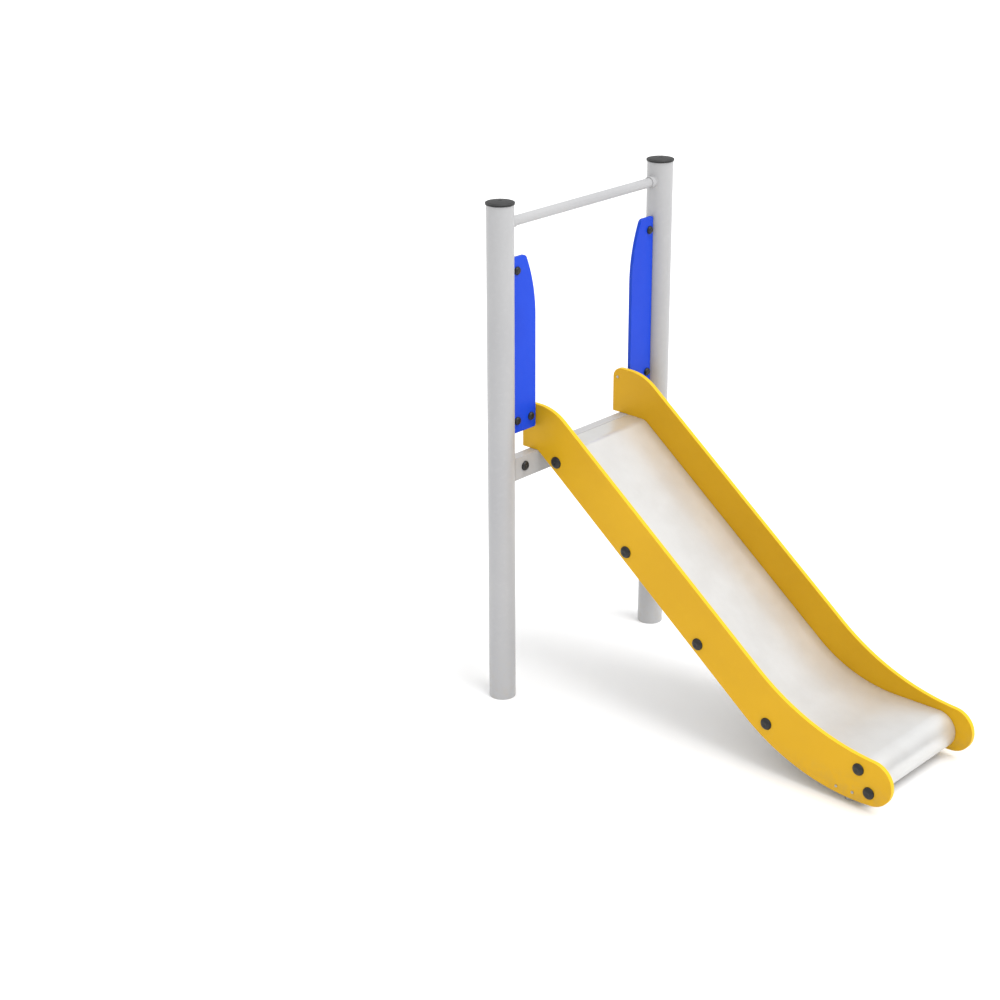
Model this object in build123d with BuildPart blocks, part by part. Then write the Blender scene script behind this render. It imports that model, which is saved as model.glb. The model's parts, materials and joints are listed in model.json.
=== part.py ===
"""Straight playground slide with its starting section, as separate pieces."""
import os
from math import atan2, cos, degrees, hypot, radians, sin, sqrt, tan

from build123d import *

# Lengths are in mm. Profiles are drawn from the line between the two posts: x runs down the
# slide, y runs across it towards its left side, and z is the height above the ground.

# Sliding surface
lip_height = 970.0
exit_height = 175.0
lip_length = 110.5
slope_angle = 38.0
crest_radius = 40.0
runout_radius = 560.0
runout_flat = 185.0
roll_radius = 75.0
roll_sweep = 150.0
inner_width = 519.0

# Stainless chute
sheet = 2.5
side_flange = 40.0
rear_flange = 65.0
rear_flange_inset = 44.5
fold_radius = 6.0

# Side boards
board_thickness = 19.0
board_above = 133.0
board_below = 55.0
board_rear_x = -55.0
board_top_rise = 183.0
board_rear_radius = 40.0
board_crest_radius = 200.0
board_under_radius = 800.0
board_over_radius = 912.0
tip_ahead = 56.0
tip_rise = 14.0
tip_radius = 86.0
board_edge_radius = 2.5

# Cross tubes under the chute
tube_diameter = 25.0
tube_wall = 2.5
tube_gap = 5.0
first_tube_along = 19.0
tube_pitch = 435.0
runout_tube_angle = 20.7
end_tube_offset = 4.0
end_tube_gap = 7.0
nose_tube_gap = 3.0
nose_tube_angle = -25.0
insert_collar = 3.0
insert_length = 30.0

# Posts and caps
post_diameter = 101.6
post_wall = 3.0
post_board_gap = 130.7
post_rise = 982.0
cap_overhang = 3.4
cap_rim = 7.0
cap_dome = 5.0
cap_plug_depth = 22.0
cap_plug_wall = 4.0

# Threshold beam and its brackets
beam_height = 90.0
beam_depth = 40.0
beam_sheet = 3.0
beam_fold_radius = 2.5
beam_front_x = 20.0
beam_end_gap = 4.2
beam_bolt_reach = 59.2
beam_bolt_drop = 42.0
tongue_thickness = 8.0
tongue_height = 58.0
tongue_end_margin = 26.0
lip_bolt_inset = 35.0
lip_bolt_drop = 42.0
deck_hole_pitch = 600.0
deck_hole_diameter = 11.0

# Grab bar
bar_diameter = 38.0
bar_wall = 2.5
bar_rise = 906.0
socket_wall = 4.0
socket_length = 18.0
grub_screw = 6.0

# Guards
guard_thickness = 15.0
guard_post_gap = 1.5
guard_board_gap = 2.8
guard_rise = 97.0
guard_centre_x = 6.0
guard_height = 677.0
guard_straight = 433.0
guard_taper_radius = 585.0
guard_top_radius = 20.0
guard_corner_radius = 8.0
guard_bolt_reach = 24.2
guard_inner_bolt_gap = 31.5
guard_low_bolt = 48.0
guard_high_bolt = 51.0
lug_thickness = 6.0
lug_height = 40.0
lug_end_margin = 18.0
corner_sheet = 3.0
corner_height = 44.0
corner_reach = 48.0
corner_screw_back = 30.0

# Anchor legs at the exit
leg_diameter = 38.0
leg_wall = 3.0
leg_behind = 48.0
anchor_sheet = 6.0
anchor_length = 100.0
anchor_screw_pitch = 68.0
anchor_screw_z = 55.0
anchor_screw_edge = 17.0
anchor_screw_top = 25.0

# Fasteners and fits
bolt_hole_gap = 0.5
thread_gap = 0.1
slip_gap = 0.2
m10 = 10.0
m8 = 8.0
m6 = 6.0
thread_past_nut = 3.0
insert_grip = 20.5
nut_flange = 1.2
seat_height = 3.0
cap_wall = 2.0
cap_dimple_depth = 1.2

# Fastener proportions, as shares of a thread size, a head's height or a cap's size
head_round = 0.6
hex_socket_radius = 0.3
hex_socket_depth = 0.5
nut_rise = 0.9
nut_corner_radius = 0.92
grub_socket_radius = 0.25
cap_side_rise = 0.8
cap_shoulder_reach = 0.72
cap_shoulder_rise = 0.78
cap_dimple_reach = 0.32
cap_dimple_floor = 0.8

half_width = inner_width / 2
board_outer_y = half_width + board_thickness
post_radius = post_diameter / 2
post_face = board_outer_y + post_board_gap
post_y = post_face + post_radius
post_height = lip_height + post_rise
cap_radius = post_radius + cap_overhang
bar_height = lip_height + bar_rise
slope = radians(slope_angle)
bend_shift = tan(slope / 2)
runout_corner_x = lip_length + (lip_height - exit_height) / tan(slope)
arc_centre_x = runout_corner_x + runout_radius * bend_shift
arc_centre_z = exit_height + runout_radius
roll_centre_x = arc_centre_x + runout_flat
roll_centre_z = exit_height - roll_radius
tip_centre_x = roll_centre_x + tip_ahead
tip_centre_z = roll_centre_z + tip_rise
board_top = lip_height + board_top_rise
step_x = lip_length - board_below / sin(slope)
flange_start_x = step_x + side_flange / tan(slope)
frame_x = -(tip_centre_x + tip_radius - cap_radius) / 2
sides = {"left": 1, "right": -1}


def side_plane(y):
    """Upright plane along the slide at y, with its normal towards -Y."""
    return Plane(origin=(frame_x, y, 0), x_dir=(1, 0, 0), z_dir=(0, -1, 0))


def cross_plane(x):
    """Upright plane across the slide at x, with its normal down the slide."""
    return Plane(origin=(frame_x + x, 0, 0), x_dir=(0, 1, 0), z_dir=(1, 0, 0))


def level_plane(z):
    """Level plane at the height z."""
    return Plane(origin=(frame_x, 0, z))


def facing(x, y, z, direction):
    """Place for a fastener whose head faces the given direction."""
    return Plane(origin=(frame_x + x, y, z), z_dir=direction).location


def on_slope(along, above):
    """Point at a distance down the slope from the crest, and square above it."""
    x = lip_length + along * cos(slope) + above * sin(slope)
    z = lip_height - along * sin(slope) + above * cos(slope)
    return (x, z)


def keep(piece, label):
    """Name a finished piece and write it out."""
    piece.part.label = label
    export_step(piece.part, f"parts/{label}.step")


def chute_path(depth):
    """The chute's line at a depth under the sliding surface, rear flange to exit roll."""
    shift = depth * bend_shift
    FilletPolyline(
        (beam_front_x + depth, lip_height - rear_flange),
        (beam_front_x + depth, lip_height - depth),
        (lip_length - shift, lip_height - depth),
        (runout_corner_x - shift, exit_height - depth),
        (roll_centre_x, exit_height - depth),
        radius=[fold_radius - depth, crest_radius - depth, runout_radius + depth],
    )
    CenterArc((roll_centre_x, roll_centre_z), roll_radius - depth, 90, -roll_sweep)


def roll_end(depth):
    """End of the exit roll at a depth under its surface."""
    angle = radians(90 - roll_sweep)
    reach = roll_radius - depth
    return (roll_centre_x + reach * cos(angle), roll_centre_z + reach * sin(angle))


def flange_path(depth):
    """Edge of a side flange at a depth under the sliding surface, lip to exit roll."""
    shift = depth * bend_shift
    FilletPolyline(
        (flange_start_x, lip_height - depth),
        (lip_length - shift, lip_height - depth),
        (runout_corner_x - shift, exit_height - depth),
        (roll_centre_x, exit_height - depth),
        radius=[max(crest_radius - depth, fold_radius), runout_radius + depth],
    )
    CenterArc((roll_centre_x, roll_centre_z), roll_radius - depth, 90, -roll_sweep)


def tip_tangent_along(above, reach):
    """Distance down the slope of a centre at a height over it and a reach from the tip."""
    tip_x = tip_centre_x - lip_length
    tip_z = tip_centre_z - lip_height
    tip_along = tip_x * cos(slope) - tip_z * sin(slope)
    tip_above = tip_x * sin(slope) + tip_z * cos(slope)
    return tip_along - sqrt(reach**2 - (above - tip_above) ** 2)


def arc_about(centre, radius, start, end):
    """Arc about a centre from one point to another, the short way round."""
    first = degrees(atan2(start[1] - centre[1], start[0] - centre[0]))
    last = degrees(atan2(end[1] - centre[1], end[0] - centre[0]))
    sweep = (last - first + 180) % 360 - 180
    CenterArc(centre, radius, first, sweep)


def towards(start, target, distance):
    """Point at a distance from start on the way to target."""
    share = distance / hypot(target[0] - start[0], target[1] - start[1])
    return (start[0] + share * (target[0] - start[0]), start[1] + share * (target[1] - start[1]))


def button_bolt(size, length, head_diameter, head_height):
    """Button-head bolt along Z, its head above the plane and its shank below."""
    with BuildPart() as bolt:
        Cylinder(head_diameter / 2, head_height, align=(Align.CENTER, Align.CENTER, Align.MIN))
        fillet(bolt.edges().group_by(Axis.Z)[-1], head_height * head_round)
        Cylinder(size / 2, length, align=(Align.CENTER, Align.CENTER, Align.MAX))
        with BuildSketch(Plane.XY.offset(head_height)):
            RegularPolygon(size * hex_socket_radius, 6)
        extrude(amount=-head_height * hex_socket_depth, mode=Mode.SUBTRACT)
    return bolt.part


def nut_height(size):
    """Height of a nut of a thread size."""
    return size * nut_rise


def flange_nut(size):
    """Hexagonal nut on a round flange, standing on the plane."""
    with BuildPart() as nut:
        Cylinder(size, nut_flange, align=(Align.CENTER, Align.CENTER, Align.MIN))
        with BuildSketch(Plane.XY.offset(nut_flange)):
            RegularPolygon(size * nut_corner_radius, 6)
        extrude(amount=nut_height(size) - nut_flange)
        with BuildSketch():
            Circle(size / 2 + thread_gap)
        extrude(amount=nut_height(size), mode=Mode.SUBTRACT)
    return nut.part


def cap_seat(size, diameter):
    """Round base that the bolt clamps and the cap snaps over."""
    with BuildPart() as seat:
        with BuildSketch():
            Circle(diameter / 2)
            Circle(size / 2 + bolt_hole_gap, mode=Mode.SUBTRACT)
        extrude(amount=seat_height)
    return seat.part


def dome_cap(seat_diameter, head_diameter, head_height):
    """Domed plastic cap, hollow over a seat and a bolt's head, with a small dimple on top."""
    seat_radius = seat_diameter / 2 + slip_gap
    radius = seat_radius + cap_wall
    head_radius = head_diameter / 2 + 1
    seat_top = seat_height + slip_gap
    head_top = seat_height + head_height + slip_gap
    height = head_top + cap_dimple_depth + cap_wall
    side_height = seat_height * cap_side_rise
    dimple_radius = radius * cap_dimple_reach
    with BuildPart() as cap:
        with BuildSketch(Plane.XZ):
            with BuildLine():
                Polyline(
                    (0, height - cap_dimple_depth),
                    (0, head_top),
                    (head_radius, head_top),
                    (head_radius, seat_top),
                    (seat_radius, seat_top),
                    (seat_radius, 0),
                    (radius, 0),
                    (radius, side_height),
                )
                ThreePointArc(
                    (radius, side_height),
                    (radius * cap_shoulder_reach, height * cap_shoulder_rise),
                    (dimple_radius, height),
                )
                Polyline(
                    (dimple_radius, height),
                    (dimple_radius * cap_dimple_floor, height - cap_dimple_depth),
                    (0, height - cap_dimple_depth),
                )
            make_face()
        revolve(axis=Axis.Z)
    return cap.part


os.makedirs("parts", exist_ok=True)

# Tube centres, from the crest down to the exit roll
tube_depth = sheet + tube_gap + tube_diameter / 2
end_tube_depth = sheet + end_tube_gap + tube_diameter / 2
nose_reach = roll_radius - sheet - nose_tube_gap - tube_diameter / 2
tube_reach = runout_radius + tube_depth
tube_points = [on_slope(first_tube_along + step * tube_pitch, -tube_depth) for step in range(3)]
tube_points.append(
    (
        arc_centre_x - tube_reach * sin(radians(runout_tube_angle)),
        arc_centre_z - tube_reach * cos(radians(runout_tube_angle)),
    )
)
tube_points.append((roll_centre_x + end_tube_offset, exit_height - end_tube_depth))
tube_points.append(
    (
        roll_centre_x + nose_reach * cos(radians(nose_tube_angle)),
        roll_centre_z + nose_reach * sin(radians(nose_tube_angle)),
    )
)

# Chute: one folded sheet, with flanges down both sides and at the rear
lip_bolt_z = lip_height - lip_bolt_drop
lip_bolt_pitch = inner_width / 2 - rear_flange_inset - lip_bolt_inset
lip_bolt_points = [(step * lip_bolt_pitch, lip_bolt_z) for step in (-1, 0, 1)]
rear_flange_top = lip_height - fold_radius
rear_flange_bottom = lip_height - rear_flange
with BuildPart() as chute:
    with BuildSketch(side_plane(half_width)):
        with BuildLine():
            chute_path(0)
            chute_path(sheet)
            Line(
                (beam_front_x, lip_height - rear_flange),
                (beam_front_x + sheet, lip_height - rear_flange),
            )
            Line(roll_end(0), roll_end(sheet))
        make_face()
    extrude(amount=inner_width)
    for edge_y in (half_width, sheet - half_width):
        with BuildSketch(side_plane(edge_y)):
            with BuildLine():
                flange_path(0)
                flange_path(side_flange)
                Line(
                    (flange_start_x, lip_height),
                    (flange_start_x, lip_height - side_flange),
                )
                Line(roll_end(0), roll_end(side_flange))
            make_face()
        extrude(amount=sheet)
    with BuildSketch(side_plane(half_width)):
        with Locations(*tube_points):
            Circle(m10 / 2 + bolt_hole_gap)
    extrude(amount=inner_width, mode=Mode.SUBTRACT)
    with BuildSketch(cross_plane(beam_front_x)):
        with Locations((0, (rear_flange_top + rear_flange_bottom) / 2)):
            Rectangle(inner_width, rear_flange_top - rear_flange_bottom)
            Rectangle(
                inner_width - 2 * rear_flange_inset,
                rear_flange_top - rear_flange_bottom,
                mode=Mode.SUBTRACT,
            )
        with Locations(*lip_bolt_points):
            Circle(m8 / 2 + bolt_hole_gap)
    extrude(amount=sheet, mode=Mode.SUBTRACT)
keep(chute, "chute")

# Side boards
tip = (tip_centre_x, tip_centre_z)
under_above = board_under_radius - board_below
over_above = board_over_radius + board_above
under_along = tip_tangent_along(under_above, board_under_radius - tip_radius)
over_along = tip_tangent_along(over_above, board_over_radius + tip_radius)
under_centre = on_slope(under_along, under_above)
over_centre = on_slope(over_along, over_above)
under_start = on_slope(under_along, -board_below)
over_start = on_slope(over_along, board_above)
under_end = towards(under_centre, tip, board_under_radius)
over_end = towards(over_centre, tip, board_over_radius)
top_corner_x = lip_length + (lip_height + board_above / cos(slope) - board_top) / tan(slope)
leg_x = roll_centre_x - leg_behind
anchor_screw_points = [
    (leg_x + side * anchor_screw_pitch / 2, anchor_screw_z) for side in (-1, 1)
]
guard_front_x = guard_centre_x + guard_thickness / 2
guard_back_x = guard_centre_x - guard_thickness / 2
corner_screw_x = guard_back_x - corner_screw_back
guard_bottom = lip_height + guard_rise
guard_top = guard_bottom + guard_height
low_bolt_z = guard_bottom + guard_low_bolt
high_bolt_z = guard_top - guard_high_bolt
for side_name, side in sides.items():
    with BuildPart() as board:
        with BuildSketch(side_plane(side * (half_width + board_thickness / 2))):
            with BuildLine():
                FilletPolyline(
                    (board_rear_x, lip_height),
                    (board_rear_x, board_top),
                    (top_corner_x, board_top),
                    over_start,
                    radius=[board_rear_radius, board_crest_radius],
                )
                arc_about(over_centre, board_over_radius, over_start, over_end)
                ThreePointArc(over_end, (tip_centre_x + tip_radius, tip_centre_z), under_end)
                arc_about(under_centre, board_under_radius, under_start, under_end)
                Polyline(under_start, (step_x, lip_height), (board_rear_x, lip_height))
            make_face()
        extrude(amount=board_thickness / 2, both=True)
        rims = board.faces().filter_by(Axis.Y).edges()
        fillet(rims, board_edge_radius)
        with BuildSketch(side_plane(side * (half_width + board_thickness / 2))):
            with Locations(*tube_points):
                Circle(m10 / 2 + bolt_hole_gap)
            with Locations(*anchor_screw_points, (corner_screw_x, low_bolt_z)):
                Circle(m6 / 2 + bolt_hole_gap)
        extrude(amount=board_thickness, both=True, mode=Mode.SUBTRACT)
    keep(board, f"{side_name}_side_board")

# Cross tubes and the threaded inserts in their ends
tube_end_y = half_width - sheet - insert_collar
tube_bore = tube_diameter / 2 - tube_wall
for number, (tube_x, tube_z) in enumerate(tube_points, start=1):
    with BuildPart() as cross_tube:
        with BuildSketch(side_plane(0)):
            with Locations((tube_x, tube_z)):
                Circle(tube_diameter / 2)
                Circle(tube_bore, mode=Mode.SUBTRACT)
        extrude(amount=tube_end_y, both=True)
    keep(cross_tube, f"cross_tube_{number}")

with BuildPart() as insert_blank:
    Cylinder(tube_diameter / 2, insert_collar, align=(Align.CENTER, Align.CENTER, Align.MAX))
    Cylinder(tube_bore - thread_gap, insert_length, align=(Align.CENTER, Align.CENTER, Align.MAX))
    Cylinder(
        m10 / 2 + thread_gap,
        insert_length,
        align=(Align.CENTER, Align.CENTER, Align.MAX),
        mode=Mode.SUBTRACT,
    )
insert_places = [
    facing(x, side * (half_width - sheet), z, (0, side, 0))
    for side in sides.values()
    for x, z in tube_points
]
with BuildPart() as cross_tube_inserts:
    with Locations(*insert_places):
        add(insert_blank.part)
keep(cross_tube_inserts, "cross_tube_inserts")

# Capped bolts: a seat against the clamped face, the bolt on the seat, and the cap over both
side_head = 20.0
side_head_height = 5.5
side_seat = 41.6
side_bolt_length = seat_height + board_thickness + sheet + insert_grip
side_places = [
    facing(x, side * board_outer_y, z, (0, side, 0))
    for side in sides.values()
    for x, z in tube_points
]
seat_top_plane = Plane.XY.offset(seat_height)
side_bolt = button_bolt(m10, side_bolt_length, side_head, side_head_height)
with BuildPart() as side_bolts:
    with Locations(*side_places):
        with Locations(seat_top_plane.location):
            add(side_bolt)
keep(side_bolts, "side_bolts")

with BuildPart() as side_bolt_seats:
    with Locations(*side_places):
        add(cap_seat(m10, side_seat))
keep(side_bolt_seats, "side_bolt_seats")

with BuildPart() as side_bolt_caps:
    with Locations(*side_places):
        add(dome_cap(side_seat, side_head, side_head_height))
keep(side_bolt_caps, "side_bolt_caps")

# Anchor legs: an angle screwed inside each board, with a short leg under it
leg_y = half_width - anchor_sheet - leg_diameter / 2
anchor_top = anchor_screw_z + anchor_screw_top
anchor_bottom = anchor_screw_z - anchor_screw_edge
shelf_reach = anchor_sheet + leg_diameter
for side_name, side in sides.items():
    with BuildPart() as anchor_bracket:
        with BuildSketch(cross_plane(leg_x)):
            with BuildLine():
                Polyline(
                    (side * half_width, anchor_bottom),
                    (side * half_width, anchor_top),
                    (side * (half_width - shelf_reach), anchor_top),
                    (side * (half_width - shelf_reach), anchor_top - anchor_sheet),
                    (side * (half_width - anchor_sheet), anchor_top - anchor_sheet),
                    (side * (half_width - anchor_sheet), anchor_bottom),
                    close=True,
                )
            make_face()
        extrude(amount=anchor_length / 2, both=True)
        with BuildSketch(side_plane(side * half_width)):
            with Locations(*anchor_screw_points):
                Circle(m6 / 2 + bolt_hole_gap)
        extrude(amount=anchor_sheet, both=True, mode=Mode.SUBTRACT)
    keep(anchor_bracket, f"{side_name}_anchor_bracket")

    with BuildPart() as anchor_leg:
        with BuildSketch(level_plane(0)):
            with Locations((leg_x, side * leg_y)):
                Circle(leg_diameter / 2)
                Circle(leg_diameter / 2 - leg_wall, mode=Mode.SUBTRACT)
        extrude(amount=anchor_top - anchor_sheet)
    keep(anchor_leg, f"{side_name}_anchor_leg")

# Small screws through the boards: into the anchor angles, and into the guards' brackets
small_head = 11.0
small_head_height = 3.0
small_screw_length = board_thickness + anchor_sheet + nut_height(m6) + thread_past_nut
small_screw_places = [
    facing(x, side * board_outer_y, z, (0, side, 0))
    for side in sides.values()
    for x, z in anchor_screw_points
] + [
    facing(corner_screw_x, side * half_width, low_bolt_z, (0, -side, 0)) for side in sides.values()
]
small_nut_places = [
    facing(x, side * (half_width - anchor_sheet), z, (0, -side, 0))
    for side in sides.values()
    for x, z in anchor_screw_points
] + [
    facing(corner_screw_x, side * (board_outer_y + corner_sheet), low_bolt_z, (0, side, 0))
    for side in sides.values()
]
with BuildPart() as small_screws:
    with Locations(*small_screw_places):
        add(button_bolt(m6, small_screw_length, small_head, small_head_height))
keep(small_screws, "small_screws")

with BuildPart() as small_nuts:
    with Locations(*small_nut_places):
        add(flange_nut(m6))
keep(small_nuts, "small_nuts")

# Posts and their caps
cap_top = post_height + cap_rim + cap_dome
dome_radius = (cap_radius**2 + cap_dome**2) / (2 * cap_dome)
plug_radius = post_radius - post_wall - slip_gap
for side_name, side in sides.items():
    with BuildPart() as post:
        with BuildSketch(level_plane(0)):
            with Locations((0, side * post_y)):
                Circle(post_radius)
                Circle(post_radius - post_wall, mode=Mode.SUBTRACT)
        extrude(amount=post_height)
    keep(post, f"{side_name}_post")

    with BuildPart() as post_cap:
        with BuildSketch(side_plane(side * post_y)):
            with BuildLine():
                Polyline(
                    (0, cap_top),
                    (0, post_height),
                    (plug_radius - cap_plug_wall, post_height),
                    (plug_radius - cap_plug_wall, post_height - cap_plug_depth),
                    (plug_radius, post_height - cap_plug_depth),
                    (plug_radius, post_height),
                    (cap_radius, post_height),
                    (cap_radius, post_height + cap_rim),
                )
                arc_about(
                    (0, cap_top - dome_radius),
                    dome_radius,
                    (cap_radius, post_height + cap_rim),
                    (0, cap_top),
                )
            make_face()
        revolve(axis=Axis((frame_x, side * post_y, 0), (0, 0, 1)))
    keep(post_cap, f"{side_name}_post_cap")

# Threshold beam: a channel between the posts, open towards the deck
beam_end_y = post_face - beam_end_gap
beam_bolt_y = post_face - beam_bolt_reach
beam_bottom = lip_height - beam_height
beam_bolt_z = lip_height - beam_bolt_drop
beam_bolt_points = [(side * beam_bolt_y, beam_bolt_z) for side in sides.values()]
deck_hole_x = beam_front_x - beam_depth / 2
with BuildPart() as threshold_beam:
    with BuildSketch(side_plane(0)):
        with BuildLine():
            Polyline(
                (beam_front_x - beam_depth, lip_height),
                (beam_front_x, lip_height),
                (beam_front_x, beam_bottom),
                (beam_front_x - beam_depth, beam_bottom),
                (beam_front_x - beam_depth, beam_bottom + beam_sheet),
                (beam_front_x - beam_sheet, beam_bottom + beam_sheet),
                (beam_front_x - beam_sheet, lip_height - beam_sheet),
                (beam_front_x - beam_depth, lip_height - beam_sheet),
                close=True,
            )
        make_face()
    extrude(amount=beam_end_y, both=True)
    outer_folds = threshold_beam.edges().filter_by(Axis.Y).group_by(Axis.X)[-1]
    fillet(outer_folds, beam_fold_radius)
    with BuildSketch(cross_plane(beam_front_x - beam_sheet)):
        with Locations(*beam_bolt_points):
            Circle(m10 / 2 + bolt_hole_gap)
        with Locations(*lip_bolt_points):
            Circle(m8 / 2 + bolt_hole_gap)
    extrude(amount=beam_sheet, mode=Mode.SUBTRACT)
    with BuildSketch(level_plane(beam_bottom)):
        with Locations((deck_hole_x, deck_hole_pitch / 2), (deck_hole_x, -deck_hole_pitch / 2)):
            Circle(deck_hole_diameter / 2)
    extrude(amount=beam_sheet, mode=Mode.SUBTRACT)
keep(threshold_beam, "threshold_beam")

# Tongues welded to the posts, behind the beam's web
tongue_front = beam_front_x - beam_sheet
tongue_back = tongue_front - tongue_thickness
tongue_end_y = beam_bolt_y - tongue_end_margin
for side_name, side in sides.items():
    with BuildPart() as beam_bracket:
        with BuildSketch(cross_plane(tongue_back)):
            with Locations((side * (tongue_end_y + post_y) / 2, beam_bolt_z)):
                Rectangle(post_y - tongue_end_y, tongue_height)
            with Locations((side * beam_bolt_y, beam_bolt_z)):
                Circle(m10 / 2 + bolt_hole_gap, mode=Mode.SUBTRACT)
        extrude(amount=tongue_thickness)
        with BuildSketch(level_plane(0)):
            with Locations((0, side * post_y)):
                Circle(post_radius)
        extrude(amount=post_height, mode=Mode.SUBTRACT)
    keep(beam_bracket, f"{side_name}_beam_bracket")

beam_head = 18.0
beam_head_height = 5.0
beam_seat = 33.6
beam_bolt_length = seat_height + beam_sheet + tongue_thickness + nut_height(m10) + thread_past_nut
beam_places = [facing(beam_front_x, y, z, (1, 0, 0)) for y, z in beam_bolt_points]
beam_nut_places = [facing(tongue_back, y, z, (-1, 0, 0)) for y, z in beam_bolt_points]
with BuildPart() as beam_bolts:
    with Locations(*beam_places):
        with Locations(seat_top_plane.location):
            add(button_bolt(m10, beam_bolt_length, beam_head, beam_head_height))
keep(beam_bolts, "beam_bolts")

with BuildPart() as beam_nuts:
    with Locations(*beam_nut_places):
        add(flange_nut(m10))
keep(beam_nuts, "beam_nuts")

with BuildPart() as beam_bolt_seats:
    with Locations(*beam_places):
        add(cap_seat(m10, beam_seat))
keep(beam_bolt_seats, "beam_bolt_seats")

with BuildPart() as beam_bolt_caps:
    with Locations(*beam_places):
        add(dome_cap(beam_seat, beam_head, beam_head_height))
keep(beam_bolt_caps, "beam_bolt_caps")

# Bolts that hold the chute's rear flange to the beam
lip_head = 15.0
lip_head_height = 4.4
lip_bolt_length = sheet + beam_sheet + nut_height(m8) + thread_past_nut
lip_places = [facing(beam_front_x + sheet, y, z, (1, 0, 0)) for y, z in lip_bolt_points]
lip_nut_places = [facing(tongue_front, y, z, (-1, 0, 0)) for y, z in lip_bolt_points]
with BuildPart() as lip_bolts:
    with Locations(*lip_places):
        add(button_bolt(m8, lip_bolt_length, lip_head, lip_head_height))
keep(lip_bolts, "lip_bolts")

with BuildPart() as lip_nuts:
    with Locations(*lip_nut_places):
        add(flange_nut(m8))
keep(lip_nuts, "lip_nuts")

# Grab bar in two sockets welded to the posts, each with a grub screw from below
socket_end_y = post_face - socket_length
socket_radius = bar_diameter / 2 + slip_gap + socket_wall
grub_y = post_face - socket_length / 2
with BuildPart() as grab_bar:
    with BuildSketch(side_plane(0)):
        with Locations((0, bar_height)):
            Circle(bar_diameter / 2)
            Circle(bar_diameter / 2 - bar_wall, mode=Mode.SUBTRACT)
    extrude(amount=post_face - slip_gap, both=True)
keep(grab_bar, "grab_bar")

for side_name, side in sides.items():
    with BuildPart() as bar_socket:
        with BuildSketch(side_plane(side * post_y)):
            with Locations((0, bar_height)):
                Circle(socket_radius)
                Circle(bar_diameter / 2 + slip_gap, mode=Mode.SUBTRACT)
        extrude(amount=side * (post_y - socket_end_y))
        with BuildSketch(level_plane(bar_height - socket_radius)):
            with Locations((0, side * grub_y)):
                Circle(grub_screw / 2 + thread_gap)
        extrude(amount=socket_radius, mode=Mode.SUBTRACT)
        with BuildSketch(level_plane(0)):
            with Locations((0, side * post_y)):
                Circle(post_radius)
        extrude(amount=post_height, mode=Mode.SUBTRACT)
    keep(bar_socket, f"{side_name}_bar_socket")

with BuildPart() as bar_grub_screws:
    with BuildSketch(level_plane(bar_height - bar_diameter / 2)):
        with Locations((0, grub_y), (0, -grub_y)):
            Circle(grub_screw / 2)
            RegularPolygon(grub_screw * grub_socket_radius, 6, mode=Mode.SUBTRACT)
    extrude(amount=-socket_wall)
keep(bar_grub_screws, "bar_grub_screws")

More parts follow.
